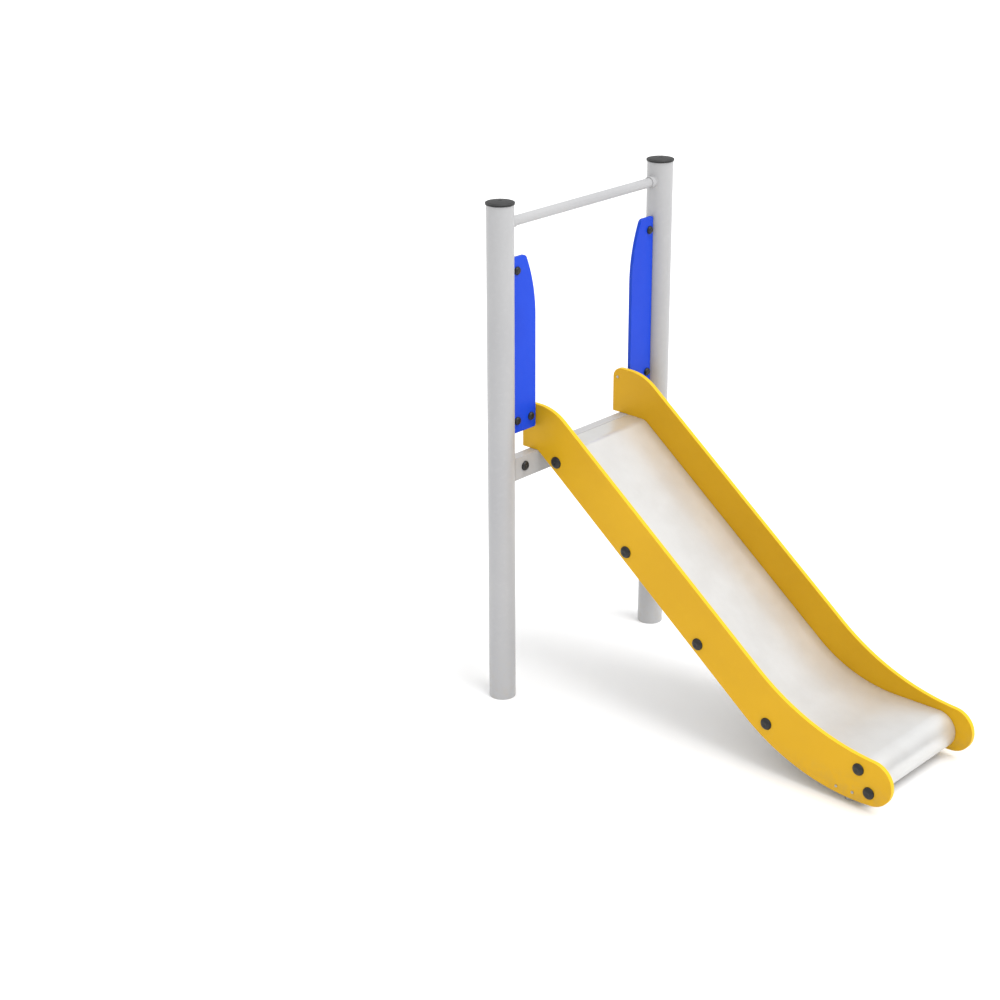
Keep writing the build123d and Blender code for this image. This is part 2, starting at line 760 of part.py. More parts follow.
# Guards beside the opening, on lugs welded to the posts
guard_outer_y = post_face - guard_post_gap
guard_inner_y = board_outer_y + guard_board_gap
guard_bolt_y = post_face - guard_bolt_reach
guard_inner_bolt_y = board_outer_y + guard_inner_bolt_gap
taper_start_z = guard_bottom + guard_straight
taper_rise = guard_top - taper_start_z
taper_shift = guard_taper_radius - sqrt(guard_taper_radius**2 - taper_rise**2)
guard_bolt_points = [
    (guard_bolt_y, low_bolt_z),
    (guard_inner_bolt_y, low_bolt_z),
    (guard_bolt_y, high_bolt_z),
]
lug_end_y = guard_bolt_y - lug_end_margin
for side_name, side in sides.items():
    with BuildPart() as guard:
        with BuildSketch(cross_plane(guard_centre_x)):
            with BuildLine():
                Polyline(
                    (side * (guard_inner_y + taper_shift), guard_top),
                    (side * guard_outer_y, guard_top),
                    (side * guard_outer_y, guard_bottom),
                    (side * guard_inner_y, guard_bottom),
                    (side * guard_inner_y, taper_start_z),
                )
                arc_about(
                    (side * (guard_inner_y + guard_taper_radius), taper_start_z),
                    guard_taper_radius,
                    (side * guard_inner_y, taper_start_z),
                    (side * (guard_inner_y + taper_shift), guard_top),
                )
            make_face()
        extrude(amount=guard_thickness / 2, both=True)
        upright = guard.edges().filter_by(Axis.X)
        top_edges = upright.group_by(Axis.Z)[-1].sort_by(Axis.Y)
        bottom_edges = upright.group_by(Axis.Z)[0]
        inner_top = top_edges[0] if side > 0 else top_edges[-1]
        outer_top = top_edges[-1] if side > 0 else top_edges[0]
        fillet(inner_top, guard_top_radius)
        fillet([outer_top, *bottom_edges], guard_corner_radius)
        fillet(guard.faces().filter_by(Axis.X).edges(), board_edge_radius)
        with BuildSketch(cross_plane(guard_centre_x)):
            with Locations(*[(side * y, z) for y, z in guard_bolt_points]):
                Circle(m8 / 2 + bolt_hole_gap)
        extrude(amount=guard_thickness, both=True, mode=Mode.SUBTRACT)
    keep(guard, f"{side_name}_guard")

    with BuildPart() as guard_lugs:
        with BuildSketch(cross_plane(guard_back_x - lug_thickness)):
            with Locations(
                (side * (lug_end_y + post_y) / 2, low_bolt_z),
                (side * (lug_end_y + post_y) / 2, high_bolt_z),
            ):
                Rectangle(post_y - lug_end_y, lug_height)
            with Locations((side * guard_bolt_y, low_bolt_z), (side * guard_bolt_y, high_bolt_z)):
                Circle(m8 / 2 + bolt_hole_gap, mode=Mode.SUBTRACT)
        extrude(amount=lug_thickness)
        with BuildSketch(level_plane(0)):
            with Locations((0, side * post_y)):
                Circle(post_radius)
        extrude(amount=post_height, mode=Mode.SUBTRACT)
    keep(guard_lugs, f"{side_name}_guard_lugs")

    with BuildPart() as corner_bracket:
        with BuildSketch(level_plane(low_bolt_z - corner_height / 2)):
            with BuildLine():
                Polyline(
                    (guard_back_x, side * board_outer_y),
                    (guard_back_x, side * (board_outer_y + corner_reach)),
                    (guard_back_x - corner_sheet, side * (board_outer_y + corner_reach)),
                    (guard_back_x - corner_sheet, side * (board_outer_y + corner_sheet)),
                    (guard_back_x - corner_reach, side * (board_outer_y + corner_sheet)),
                    (guard_back_x - corner_reach, side * board_outer_y),
                    close=True,
                )
            make_face()
        extrude(amount=corner_height)
        with BuildSketch(cross_plane(guard_back_x - corner_sheet)):
            with Locations((side * guard_inner_bolt_y, low_bolt_z)):
                Circle(m8 / 2 + bolt_hole_gap)
        extrude(amount=corner_sheet, mode=Mode.SUBTRACT)
        with BuildSketch(side_plane(side * board_outer_y)):
            with Locations((corner_screw_x, low_bolt_z)):
                Circle(m6 / 2 + bolt_hole_gap)
        extrude(amount=corner_sheet, both=True, mode=Mode.SUBTRACT)
    keep(corner_bracket, f"{side_name}_corner_bracket")

guard_head = 14.0
guard_head_height = 4.4
guard_seat = 27.6
guard_clamped = guard_thickness + lug_thickness
guard_bolt_length = seat_height + guard_clamped + nut_height(m8) + thread_past_nut
guard_places = [
    facing(guard_front_x, side * y, z, (1, 0, 0))
    for side in sides.values()
    for y, z in guard_bolt_points
]
guard_nut_places = [
    facing(guard_back_x - lug_thickness, side * guard_bolt_y, z, (-1, 0, 0))
    for side in sides.values()
    for z in (low_bolt_z, high_bolt_z)
] + [
    facing(guard_back_x - corner_sheet, side * guard_inner_bolt_y, low_bolt_z, (-1, 0, 0))
    for side in sides.values()
]
with BuildPart() as guard_bolts:
    with Locations(*guard_places):
        with Locations(seat_top_plane.location):
            add(button_bolt(m8, guard_bolt_length, guard_head, guard_head_height))
keep(guard_bolts, "guard_bolts")

with BuildPart() as guard_nuts:
    with Locations(*guard_nut_places):
        add(flange_nut(m8))
keep(guard_nuts, "guard_nuts")

with BuildPart() as guard_bolt_seats:
    with Locations(*guard_places):
        add(cap_seat(m8, guard_seat))
keep(guard_bolt_seats, "guard_bolt_seats")

with BuildPart() as guard_bolt_caps:
    with Locations(*guard_places):
        add(dome_cap(guard_seat, guard_head, guard_head_height))
keep(guard_bolt_caps, "guard_bolt_caps")
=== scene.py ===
import json
from math import atan2, cos, degrees, hypot, pi, radians, sin, sqrt, tan

import bpy
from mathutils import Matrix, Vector


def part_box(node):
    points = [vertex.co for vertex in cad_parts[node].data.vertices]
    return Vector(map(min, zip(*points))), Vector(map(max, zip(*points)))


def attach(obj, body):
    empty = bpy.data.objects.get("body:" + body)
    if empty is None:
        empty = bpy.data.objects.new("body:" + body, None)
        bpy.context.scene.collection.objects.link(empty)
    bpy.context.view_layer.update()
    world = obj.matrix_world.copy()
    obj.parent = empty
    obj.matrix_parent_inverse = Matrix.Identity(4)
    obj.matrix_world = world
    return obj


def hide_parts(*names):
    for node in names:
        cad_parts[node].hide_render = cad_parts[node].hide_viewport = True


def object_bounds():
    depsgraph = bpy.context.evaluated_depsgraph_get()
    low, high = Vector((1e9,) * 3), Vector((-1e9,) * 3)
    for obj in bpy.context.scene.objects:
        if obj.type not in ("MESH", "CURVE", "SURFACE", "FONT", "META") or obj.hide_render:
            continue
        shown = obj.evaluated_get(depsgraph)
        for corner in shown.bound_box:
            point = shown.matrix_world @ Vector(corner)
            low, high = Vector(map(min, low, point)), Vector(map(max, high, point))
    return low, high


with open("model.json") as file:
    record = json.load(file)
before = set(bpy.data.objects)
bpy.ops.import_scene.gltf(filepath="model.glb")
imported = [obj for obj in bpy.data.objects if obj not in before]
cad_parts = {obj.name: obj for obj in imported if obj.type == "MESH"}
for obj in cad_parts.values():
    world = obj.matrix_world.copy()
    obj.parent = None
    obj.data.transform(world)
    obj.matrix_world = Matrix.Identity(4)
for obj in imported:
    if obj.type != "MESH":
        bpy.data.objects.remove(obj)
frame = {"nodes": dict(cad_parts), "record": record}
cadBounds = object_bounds()
print("frame loaded:", len(frame["nodes"]), "nodes")

sides = {"left": 1, "right": -1}
join = {"gap": 1e-5, "near": 1e-4, "dot": 0.001}  # doubled points, found edges, a first point


def clearSelection():
    if bpy.context.object and bpy.context.object.mode != "OBJECT":
        bpy.ops.object.mode_set(mode="OBJECT")
    bpy.ops.object.select_all(action="DESELECT")


def pick(piece):
    clearSelection()
    piece.select_set(True)
    bpy.context.view_layer.objects.active = piece


def openMesh(piece, action="SELECT"):
    pick(piece)
    bpy.ops.object.mode_set(mode="EDIT")
    bpy.ops.mesh.select_all(action=action)


def useModifier(piece, kind, **settings):
    pick(piece)
    modifier = piece.modifiers.new(kind, kind)
    for key, value in settings.items():
        setattr(modifier, key, value)
    bpy.ops.object.modifier_apply(modifier=modifier.name)


def tidyShell(piece):
    # joins doubled points and turns every face outwards
    openMesh(piece)
    bpy.ops.mesh.remove_doubles(threshold=join["gap"])
    bpy.ops.mesh.normals_make_consistent(inside=False)
    bpy.ops.object.mode_set(mode="OBJECT")


def roundRims(piece, width, segments=3, angle=40):
    useModifier(
        piece, "BEVEL", width=width, segments=segments, limit_method="ANGLE",
        angle_limit=radians(angle), use_clamp_overlap=False,
    )


def smooth(piece, angle=35):
    pick(piece)
    bpy.ops.object.shade_smooth_by_angle(angle=radians(angle))
    useModifier(piece, "WEIGHTED_NORMAL", keep_sharp=True, weight=60)


def handOver(piece, finish, slotName, *nodes):
    # a finished piece takes its finish and stands for its CAD nodes
    pick(piece)
    bpy.ops.object.transform_apply(location=True, rotation=True, scale=True)
    piece.data.materials.clear()
    piece.data.materials.append(finish.material)
    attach(piece, "root")
    if nodes:
        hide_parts(*nodes)


class Pen:
    # draws an outline point by point; across and up are the outline's own two directions
    def __init__(self, name, origin, across, up, start):
        self.origin = Vector(origin)
        self.across = Vector(across)
        self.up = Vector(up)
        self.turnAxis = -self.across.cross(self.up)  # spin turns against the right-hand rule
        self.at = start
        clearSelection()
        bpy.ops.mesh.primitive_plane_add(size=join["dot"], location=self.place(start))
        self.piece = bpy.context.object
        self.piece.name = name
        bpy.ops.object.transform_apply(location=True, rotation=False, scale=False)
        bpy.ops.object.mode_set(mode="EDIT")
        bpy.ops.mesh.select_all(action="SELECT")
        bpy.ops.mesh.merge(type="CENTER")

    def place(self, point):
        return self.origin + self.across * point[0] + self.up * point[1]

    def line(self, *points):
        for point in points:
            step = self.place(point) - self.place(self.at)
            bpy.ops.mesh.extrude_region_move(TRANSFORM_OT_translate={"value": step})
            self.at = point

    def arc(self, centre, sweep, steps):
        reach = hypot(self.at[0] - centre[0], self.at[1] - centre[1])
        angle = atan2(self.at[1] - centre[1], self.at[0] - centre[0]) + radians(sweep)
        bpy.ops.mesh.spin(
            steps=steps, angle=radians(sweep), center=self.place(centre), axis=self.turnAxis
        )
        self.at = (centre[0] + reach * cos(angle), centre[1] + reach * sin(angle))

    def arcTo(self, centre, point, steps, clockwise):
        first = atan2(self.at[1] - centre[1], self.at[0] - centre[0])
        last = atan2(point[1] - centre[1], point[0] - centre[0])
        sweep = degrees(last - first) % 360
        self.arc(centre, sweep - 360 if clockwise else sweep, steps)

    def fill(self):
        # closes the outline with one face
        bpy.ops.mesh.select_all(action="SELECT")
        bpy.ops.mesh.remove_doubles(threshold=join["gap"])
        bpy.ops.mesh.select_all(action="SELECT")
        bpy.ops.mesh.edge_face_add()

    def push(self, step):
        bpy.ops.mesh.select_all(action="SELECT")
        bpy.ops.mesh.extrude_region_move(TRANSFORM_OT_translate={"value": step})
        bpy.ops.object.mode_set(mode="OBJECT")
        return self.piece

    def lathe(self, steps):
        # turns the outline once round its up direction
        bpy.ops.mesh.select_all(action="SELECT")
        bpy.ops.mesh.spin(steps=steps, angle=2 * pi, center=self.origin, axis=self.up)
        bpy.ops.object.mode_set(mode="OBJECT")
        tidyShell(self.piece)
        return self.piece


def tube(name, start, end, radius, wall, sidesCount, rim=0.0004):
    # open cylinder with a wall and softened rims
    start = Vector(start)
    end = Vector(end)
    turn = Vector((0, 0, 1)).rotation_difference(end - start)
    clearSelection()
    bpy.ops.mesh.primitive_cylinder_add(
        vertices=sidesCount, radius=radius, depth=(end - start).length, end_fill_type="NOTHING",
        location=(start + end) / 2, rotation=turn.to_euler(),
    )
    piece = bpy.context.object
    piece.name = name
    bpy.ops.object.transform_apply(location=True, rotation=True, scale=True)
    useModifier(piece, "SOLIDIFY", thickness=wall, offset=-1, use_even_offset=True)
    roundRims(piece, rim, segments=2)
    smooth(piece)
    return piece


def bead(name, points, radius, closed=True):
    # weld bead: a line drawn along a joint and given a round section
    clearSelection()
    bpy.ops.mesh.primitive_plane_add(size=join["dot"], location=points[0])
    piece = bpy.context.object
    piece.name = name
    bpy.ops.object.transform_apply(location=True, rotation=False, scale=False)
    bpy.ops.object.mode_set(mode="EDIT")
    bpy.ops.mesh.select_all(action="SELECT")
    bpy.ops.mesh.merge(type="CENTER")
    path = list(points[1:]) + ([points[0]] if closed else [])
    last = Vector(points[0])
    for point in path:
        step = Vector(point) - last
        bpy.ops.mesh.extrude_region_move(TRANSFORM_OT_translate={"value": step})
        last = Vector(point)
    bpy.ops.mesh.select_all(action="SELECT")
    bpy.ops.mesh.remove_doubles(threshold=join["gap"])
    bpy.ops.object.mode_set(mode="OBJECT")
    bpy.ops.object.convert(target="CURVE")
    piece = bpy.context.object
    piece.data.bevel_depth = radius
    piece.data.bevel_resolution = 3
    piece.data.use_fill_caps = not closed
    bpy.ops.object.convert(target="MESH")
    piece = bpy.context.object
    tidyShell(piece)
    smooth(piece, 60)
    return piece


def copyTo(master, name, place, direction):
    # own copy of a finished master that was made at the world's middle, pointing up
    pick(master)
    bpy.ops.object.duplicate(linked=False)
    piece = bpy.context.object
    piece.name = name
    piece.rotation_euler = Vector((0, 0, 1)).rotation_difference(Vector(direction)).to_euler()
    piece.location = place
    bpy.ops.object.transform_apply(location=True, rotation=True, scale=True)
    return piece


def colour(red, green, blue):
    # screen values from 0 to 255, as the shader's linear colour
    shares = [value / 255 for value in (red, green, blue)]
    return tuple(
        share / 12.92 if share <= 0.04045 else ((share + 0.055) / 1.055) ** 2.4 for share in shares
    ) + (1.0,)


class Wire:
    # one socket's value, so that shader sums read as sums
    def __init__(self, finish, socket):
        self.finish = finish
        self.socket = socket

    def sum(self, operation, first, second):
        return self.finish.node("ShaderNodeMath", {"operation": operation}, {0: first, 1: second})

    def __add__(self, other):
        return self.sum("ADD", self, other)

    def __radd__(self, other):
        return self.sum("ADD", other, self)

    def __sub__(self, other):
        return self.sum("SUBTRACT", self, other)

    def __rsub__(self, other):
        return self.sum("SUBTRACT", other, self)

    def __mul__(self, other):
        return self.sum("MULTIPLY", self, other)

    def __abs__(self):
        return self.sum("ABSOLUTE", self, 0.0)


class Finish:
    def __init__(self, name, constants):
        self.material = bpy.data.materials.new(name)
        self.material.use_nodes = True
        self.tree = self.material.node_tree
        self.shader = self.tree.nodes["Principled BSDF"]
        for socket, value in constants.items():
            self.shader.inputs[socket].default_value = value
        coordinates = self.tree.nodes.new("ShaderNodeTexCoord")
        self.spot = Wire(self, coordinates.outputs["Object"])
        self.facing = Wire(self, coordinates.outputs["Normal"])

    def node(self, kind, settings, sockets, output=0):
        made = self.tree.nodes.new(kind)
        for key, value in settings.items():
            setattr(made, key, value)
        for key, value in sockets.items():
            self.feed(made.inputs[key], value)
        return Wire(self, made.outputs[output])

    def feed(self, socket, value):
        if isinstance(value, Wire):
            self.tree.links.new(value.socket, socket)
        else:
            socket.default_value = value

    def axis(self, vector, number):
        return self.node("ShaderNodeSeparateXYZ", {}, {0: vector}, number)

    def stretched(self, stretch, turn=(0, 0, 0)):
        # the spot turned and scaled, so that a pattern runs long one way
        return self.node(
            "ShaderNodeMapping", {"vector_type": "POINT"},
            {"Vector": self.spot, "Rotation": turn, "Scale": stretch},
        )

    def noise(self, scale, detail=2.0, rough=0.5, spot=None, bend=0.0):
        return self.node(
            "ShaderNodeTexNoise", {},
            {
                "Vector": spot or self.spot, "Scale": scale, "Detail": detail,
                "Roughness": rough, "Distortion": bend,
            },
        )

    def cells(self, scale, feature, output):
        return self.node(
            "ShaderNodeTexVoronoi", {"feature": feature},
            {"Vector": self.spot, "Scale": scale}, output,
        )

    def rise(self, value, low, high):
        # 0 below low, 1 above high, smooth between
        return self.node(
            "ShaderNodeMapRange", {"interpolation_type": "SMOOTHSTEP"},
            {"Value": value, "From Min": low, "From Max": high},
        )

    def blend(self, first, second, share):
        return self.node(
            "ShaderNodeMix", {"data_type": "RGBA"}, {0: share, 6: first, 7: second}, 2
        )

    def relief(self, height, distance, strength=1.0, under=None):
        sockets = {"Strength": strength, "Distance": distance, "Height": height}
        if under:
            sockets["Normal"] = under
        return self.node("ShaderNodeBump", {}, sockets)

    def show(self, tint, roughness, normal):
        self.feed(self.shader.inputs["Base Color"], tint)
        self.feed(self.shader.inputs["Roughness"], roughness)
        self.feed(self.shader.inputs["Normal"], normal)
        return self


def sheetPlastic(name, look, faceAxis):
    # through-coloured polyethylene sheet: pebbled faces, routed edges, rubbed rims
    skin = Finish(name, {"IOR": 1.5, "Specular IOR Level": look["gloss"]})
    flat = abs(skin.axis(skin.facing, faceAxis))
    edge = 1 - skin.rise(flat, 0.25, 0.9)
    rim = skin.rise(flat, 0.15, 0.5) * (1 - skin.rise(flat, 0.7, 0.98))
    drift = skin.noise(2.2, 3.0, 0.55)
    mottle = skin.noise(34.0, 5.0, 0.6)
    pebble = skin.noise(760.0, 3.0, 0.6)
    cutStretch = [1.0, 1.0, 1.0]
    cutStretch[faceAxis] = 0.03
    cutLines = skin.noise(620.0, 2.0, 0.5, skin.stretched(cutStretch))
    streakSpot = skin.stretched((5.0, 60.0, 420.0), (0, radians(look["rubTurn"]), 0))
    streak = skin.rise(skin.noise(1.0, 3.0, 0.65, streakSpot, 0.6), 0.66, 0.8)
    streak = streak * skin.rise(skin.noise(7.0, 2.0), 0.42, 0.62)
    low = 1 - skin.rise(skin.axis(skin.spot, 2), 0.02, look["dustHeight"])
    dust = low * skin.rise(mottle, 0.35, 0.7)
    tint = skin.blend(look["shade"], look["tint"], skin.rise(drift, 0.3, 0.7))
    tint = skin.blend(tint, look["light"], skin.rise(mottle, 0.5, 0.85) * 0.22)
    tint = skin.blend(tint, look["edge"], edge * 0.65)
    tint = skin.blend(tint, look["rub"], streak * 0.2)
    tint = skin.blend(tint, look["rub"], rim * skin.rise(mottle, 0.4, 0.75) * 0.3)
    tint = skin.blend(tint, look["dust"], dust * 0.28)
    roughness = look["roughness"] + mottle * 0.1 + edge * 0.08 - rim * 0.12 + dust * 0.2
    roughness = roughness + streak * 0.12
    grain = skin.relief(pebble, 0.00022, 0.55)
    lines = skin.relief(cutLines * edge, 0.00018, 0.6, grain)
    return skin.show(tint, roughness, skin.relief(streak, 0.0001, 0.4, lines))


def brushedSheet(name, look):
    # satin stainless sheet, brushed along the slide and polished by use down its middle
    skin = Finish(name, {"Metallic": look["metal"]})
    brush = skin.noise(1.0, 4.0, 0.7, skin.stretched((2.5, 1400.0, 2.5)), 0.0)
    fine = skin.noise(1500.0, 2.0, 0.6)
    cloud = skin.noise(4.5, 4.0, 0.6)
    smear = skin.noise(22.0, 4.0, 0.65)
    across = abs(skin.axis(skin.spot, 1))
    worn = 1 - skin.rise(across + smear * 0.05, 0.09, 0.23)
    scratchSpot = skin.stretched((3.0, 340.0, 3.0), (0, 0, radians(1.2)))
    scratch = skin.rise(skin.noise(1.0, 2.0, 0.5, scratchSpot, 0.3), 0.7, 0.78)
    scratch = scratch * skin.rise(skin.noise(6.0, 2.0), 0.4, 0.6)
    speck = skin.rise(skin.noise(240.0, 3.0, 0.7), 0.62, 0.78)
    tint = skin.blend(look["shade"], look["tint"], skin.rise(cloud, 0.3, 0.7))
    tint = skin.blend(tint, look["bright"], brush * 0.35)
    tint = skin.blend(tint, look["speck"], speck * 0.28)
    tint = skin.blend(tint, look["bright"], scratch * 0.4)
    roughness = look["roughness"] + brush * 0.12 + smear * 0.1 + fine * 0.05 - worn * 0.07
    roughness = roughness + scratch * 0.1
    lines = skin.relief(brush, 0.00004, 0.5)
    ripple = skin.relief(skin.noise(5.0, 1.0), 0.0012, 0.25, lines)
    return skin.show(tint, roughness, skin.relief(scratch, 0.00005, 0.5, ripple))


def powderCoat(name, look, ripple=0.0):
    # sprayed and baked paint: orange peel, handling scuffs, dust and splashes low down
    skin = Finish(name, {"IOR": 1.5, "Specular IOR Level": look["gloss"]})
    peel = skin.noise(360.0, 2.0, 0.45)
    fine = skin.noise(1700.0, 2.0, 0.6)
    drift = skin.noise(1.6, 3.0)
    mottle = skin.noise(46.0, 5.0, 0.62)
    height = skin.axis(skin.spot, 2)
    low = 1 - skin.rise(height, 0.0, 0.32)
    scuffSpot = skin.stretched((30.0, 30.0, 260.0), (radians(12), 0, 0))
    scuff = skin.rise(skin.noise(1.0, 3.0, 0.6, scuffSpot, 0.4), 0.68, 0.8)
    scuff = scuff * skin.rise(skin.noise(3.5, 2.0), 0.45, 0.62)
    splash = low * skin.rise(mottle, 0.46, 0.7)
    tint = skin.blend(look["shade"], look["tint"], skin.rise(drift, 0.3, 0.7))
    tint = skin.blend(tint, look["light"], skin.rise(mottle, 0.45, 0.8) * 0.25)
    tint = skin.blend(tint, look["scuff"], scuff * 0.25)
    tint = skin.blend(tint, look["dust"], splash * 0.3)
    roughness = look["roughness"] + mottle * 0.1 + fine * 0.05 + scuff * 0.15 + splash * 0.2
    coat = skin.relief(peel, 0.00025, 0.35)
    if ripple:
        coat = skin.relief(skin.noise(300.0, 3.0, 0.6, None, 0.8), 0.0009, ripple, coat)
    return skin.show(tint, roughness, coat)


def zincCoat(name, look):
    # hot-dip zinc: crystal spangle, white bloom in places, small runs
    skin = Finish(name, {"Metallic": 0.85})
    warp = skin.noise(60.0, 2.0)
    spangle = skin.cells(105.0, "F1", 1)
    tone = skin.axis(spangle, 0)
    border = 1 - skin.rise(skin.cells(105.0, "DISTANCE_TO_EDGE", 0), 0.02, 0.12)
    bloom = skin.rise(skin.noise(16.0, 4.0, 0.65), 0.52, 0.72)
    tint = skin.blend(look["shade"], look["tint"], tone)
    tint = skin.blend(tint, look["bloom"], bloom * 0.45)
    tint = skin.blend(tint, look["shade"], border * 0.4)
    roughness = look["roughness"] + tone * 0.14 + bloom * 0.18 + warp * 0.05
    crystals = skin.relief(tone, 0.00006, 0.5)
    return skin.show(tint, roughness, skin.relief(warp, 0.0003, 0.3, crystals))


def turnedSteel(name, look):
    # stainless fasteners: fine drawing marks, tea stains in places
    skin = Finish(name, {"Metallic": 1.0})
    marks = skin.noise(1400.0, 3.0, 0.6)
    stain = skin.rise(skin.noise(120.0, 4.0, 0.65), 0.55, 0.75)
    tint = skin.blend(look["tint"], look["shade"], stain * 0.5)
    roughness = look["roughness"] + marks * 0.12 + stain * 0.15
    return skin.show(tint, roughness, skin.relief(marks, 0.00006, 0.4))


def blackNylon(name, look):
    # moulded nylon: fine spark-eroded grain, grey bloom at random spots, and painted top light:
    # faces that turn upwards are mixed lighter
    skin = Finish(name, {"IOR": 1.53, "Specular IOR Level": look["gloss"]})
    grain = skin.noise(1900.0, 2.0, 0.6)
    mottle = skin.noise(90.0, 5.0, 0.62)
    # up: painted top light, faces that turn upwards are mixed towards the lighter grey and made a
    # little rougher
    up = skin.rise(skin.axis(skin.facing, 2), 0.2, 0.9)
    bloom = skin.rise(mottle, 0.42, 0.72)
    # the bloom colour goes in at random spots as real bloom, and on upward faces as painted top
    # light
    tint = skin.blend(look["tint"], look["bloom"], bloom * 0.35 + up * 0.2)
    roughness = look["roughness"] + mottle * 0.16 + up * 0.06 + grain * 0.05
    return skin.show(tint, roughness, skin.relief(grain, 0.00012, 0.45))


def studioFloor(name, look):
    skin = Finish(name, {"Specular IOR Level": 0.1})
    cloud = skin.noise(0.9, 3.0)
    tooth = skin.noise(240.0, 2.0)
    tint = skin.blend(look["shade"], look["tint"], cloud)
    return skin.show(tint, 0.85 + tooth * 0.05, skin.relief(tooth, 0.0002, 0.15))


yellowLook = {
    "tint": colour(216, 167, 14), "shade": colour(210, 161, 11), "light": colour(223, 176, 26),
    "edge": colour(236, 198, 30), "rub": colour(240, 212, 108), "dust": colour(160, 138, 96),
    "roughness": 0.4, "gloss": 0.24, "rubTurn": -38, "dustHeight": 0.16,
}
blueLook = {
    "tint": colour(8, 66, 206), "shade": colour(6, 60, 196), "light": colour(22, 80, 212),
    "edge": colour(14, 64, 182), "rub": colour(96, 130, 222), "dust": colour(96, 106, 136),
    "roughness": 0.4, "gloss": 0.24, "rubTurn": 90, "dustHeight": 0.05,
}
chuteLook = {
    "tint": colour(209, 209, 208), "shade": colour(200, 199, 197), "bright": colour(221, 221, 220),
    "speck": colour(180, 178, 175), "roughness": 0.28, "metal": 0.62,
}
paintLook = {
    "tint": colour(176, 176, 177), "shade": colour(169, 169, 171), "light": colour(187, 187, 188),
    "scuff": colour(168, 167, 166), "dust": colour(166, 156, 140), "roughness": 0.3, "gloss": 0.5,
}
zincLook = {
    "tint": colour(196, 199, 202), "shade": colour(160, 165, 170), "bloom": colour(206, 208, 208),
    "roughness": 0.34,
}
steelLook = {"tint": colour(176, 174, 169), "shade": colour(128, 120, 107), "roughness": 0.3}
# bloom: the nylon's grey bloom, also used as its painted top light on upward faces
nylonLook = {
    "tint": colour(13, 13, 14), "bloom": colour(34, 35, 36), "roughness": 0.32, "gloss": 0.45,
}
floorLook = {"tint": colour(250, 250, 250), "shade": colour(247, 247, 247)}

yellowBoard = sheetPlastic("yellowBoard", yellowLook, 1)
blueGuard = sheetPlastic("blueGuard", blueLook, 0)
stainlessChute = brushedSheet("stainlessChute", chuteLook)
greyPaint = powderCoat("greyPaint", paintLook)
paintedWeld = powderCoat("paintedWeld", paintLook, 0.7)
galvanisedSteel = zincCoat("galvanisedSteel", zincLook)
platedFasteners = turnedSteel("platedFasteners", steelLook)
blackPlastic = blackNylon("blackPlastic", nylonLook)
paleFloor = studioFloor("paleFloor", floorLook)
finishes = {
    "yellow_board": yellowBoard, "blue_guard": blueGuard, "stainless_chute": stainlessChute,
    "grey_paint": greyPaint, "galvanised_steel": galvanisedSteel,
    "plated_fasteners": platedFasteners, "black_plastic": blackPlastic,
}
for part in frame["record"]["subparts"]:
    for socket in frame["nodes"][part["node"]].material_slots:
        socket.material = finishes[part["material_slot"]].material
print("finishes made:", len(finishes), "for the CAD nodes")

postLow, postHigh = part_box("left_post")
postX = (postLow.x + postHigh.x) / 2
postY = (postLow.y + postHigh.y) / 2
postRadius = (postHigh.x - postLow.x) / 2
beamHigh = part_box("threshold_beam")[1]
lipZ = beamHigh.z
lipX = beamHigh.x - postX
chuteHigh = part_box("chute")[1]
boardLow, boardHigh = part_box("left_side_board")
boardInner = boardLow.y
boardOuter = boardHigh.y

slide = {  # line of the sliding surface, from the posts; lengths in metres
    "exitHeight": 0.175, "lipLength": 0.1105, "slope": 38.0, "crestRadius": 0.040,
    "runoutRadius": 0.560, "rollRadius": 0.075, "rollSweep": 150.0,
}
slope = radians(slide["slope"])
bendShift = tan(slope / 2)
cornerX = slide["lipLength"] + (lipZ - slide["exitHeight"]) / tan(slope)
runoutX = cornerX + slide["runoutRadius"] * bendShift
rollX = chuteHigh.x - postX - slide["rollRadius"]
rollZ = slide["exitHeight"] - slide["rollRadius"]


def onSlope(along, above):
    # along the slope from the crest, and square above it
    return (
        slide["lipLength"] + along * cos(slope) + above * sin(slope),
        lipZ - along * sin(slope) + above * cos(slope),
    )

board = {
    "above": 0.133, "below": 0.055, "rearRadius": 0.040, "crestRadius": 0.200,
    "underRadius": 0.800, "overRadius": 0.912, "tipAhead": 0.056, "tipRise": 0.014,
    "tipRadius": 0.086, "rim": 0.0025, "rimSteps": 4, "rearSteps": 12, "crestSteps": 16,
    "overSteps": 44, "tipSteps": 40, "underSteps": 40,
}
rearX = boardLow.x - postX
topZ = boardHigh.z
tip = (rollX + board["tipAhead"], rollZ + board["tipRise"])
tipAlong = (tip[0] - slide["lipLength"]) * cos(slope) - (tip[1] - lipZ) * sin(slope)
tipAbove = (tip[0] - slide["lipLength"]) * sin(slope) + (tip[1] - lipZ) * cos(slope)


def edgeArc(above, reach, radius, startAbove):
    # centre, start and end of a board's edge arc that meets the rounded tip
    along = tipAlong - sqrt(reach ** 2 - (above - tipAbove) ** 2)
    centre = onSlope(along, above)
    share = radius / hypot(tip[0] - centre[0], tip[1] - centre[1])
    end = (centre[0] + share * (tip[0] - centre[0]), centre[1] + share * (tip[1] - centre[1]))
    return centre, onSlope(along, startAbove), end


